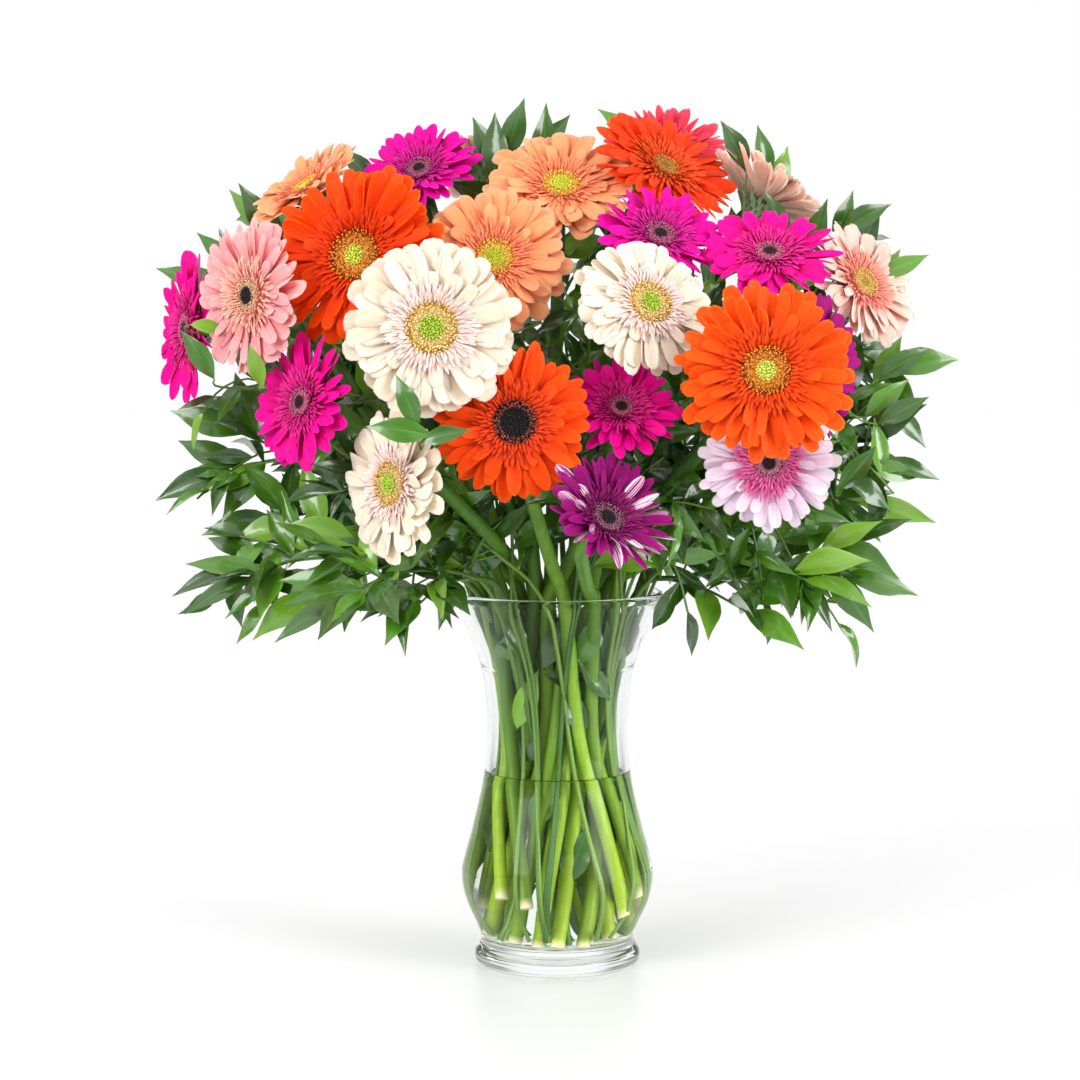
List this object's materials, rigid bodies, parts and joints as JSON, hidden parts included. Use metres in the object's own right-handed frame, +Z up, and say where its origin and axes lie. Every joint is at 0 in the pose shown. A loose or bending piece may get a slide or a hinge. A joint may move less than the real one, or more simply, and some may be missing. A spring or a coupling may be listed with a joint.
{
  "type": "gerberas in a glass vase",
  "caption": "Mixed bunch of large daisy-like cut flowers with leafy sprays, standing in water in a clear pinched glass vase.",
  "frame": {"origin": "middle of the flat underside of the vase's foot", "axes": "+Z up the vase, the blooms face -Y, +X to the right of someone who looks at the front"},
  "size_m": [0.5016, 0.3158, 0.5309],
  "materials": {
    "clear_glass": "gloss",
    "water": "gloss",
    "flower_stem": "satin",
    "leaf": "satin",
    "petals_hot_pink": "matte",
    "petals_light_pink": "matte",
    "petals_peach": "matte",
    "petals_red_orange": "matte",
    "petals_ivory": "matte",
    "petals_magenta": "matte",
    "petals_salmon": "matte",
    "petals_scarlet": "matte",
    "petals_coral": "matte",
    "petals_orange": "matte",
    "petals_purple": "matte",
    "petals_lilac": "matte"
  },
  "bodies": {
    "root": {"vase": "clear_glass", "water": "water", "bloom_01": "petals_hot_pink", "bloom_02": "petals_light_pink", "bloom_03": "petals_peach", "bloom_04": "petals_red_orange", "bloom_05": "petals_ivory", "bloom_06": "petals_magenta", "bloom_07": "petals_salmon", "bloom_08": "petals_peach", "bloom_09": "petals_peach", "bloom_10": "petals_scarlet", "bloom_11": "petals_coral", "bloom_12": "petals_magenta", "bloom_13": "petals_hot_pink", "bloom_14": "petals_light_pink", "bloom_15": "petals_light_pink", "bloom_16": "petals_ivory", "bloom_17": "petals_orange", "bloom_18": "petals_purple", "bloom_19": "petals_hot_pink", "bloom_20": "petals_orange", "bloom_21": "petals_purple", "bloom_22": "petals_lilac", "bloom_23": "petals_ivory", "bloom_24": "petals_hot_pink", "stem_01": "flower_stem", "stem_02": "flower_stem", "stem_03": "flower_stem", "stem_04": "flower_stem", "stem_05": "flower_stem", "stem_06": "flower_stem", "stem_07": "flower_stem", "stem_08": "flower_stem", "stem_09": "flower_stem", "stem_10": "flower_stem", "stem_11": "flower_stem", "stem_12": "flower_stem", "stem_13": "flower_stem", "stem_14": "flower_stem", "stem_15": "flower_stem", "stem_16": "flower_stem", "stem_17": "flower_stem", "stem_18": "flower_stem", "stem_19": "flower_stem", "stem_20": "flower_stem", "stem_21": "flower_stem", "stem_22": "flower_stem", "stem_23": "flower_stem", "stem_24": "flower_stem", "spray_left_high": "leaf", "spray_left_low": "leaf", "spray_front_left": "leaf", "spray_right_low": "leaf", "spray_right_mid": "leaf", "spray_right_high": "leaf", "spray_top": "leaf", "spray_top_left": "leaf", "spray_back_left": "leaf", "spray_back_right": "leaf"}
  },
  "joints": []
}
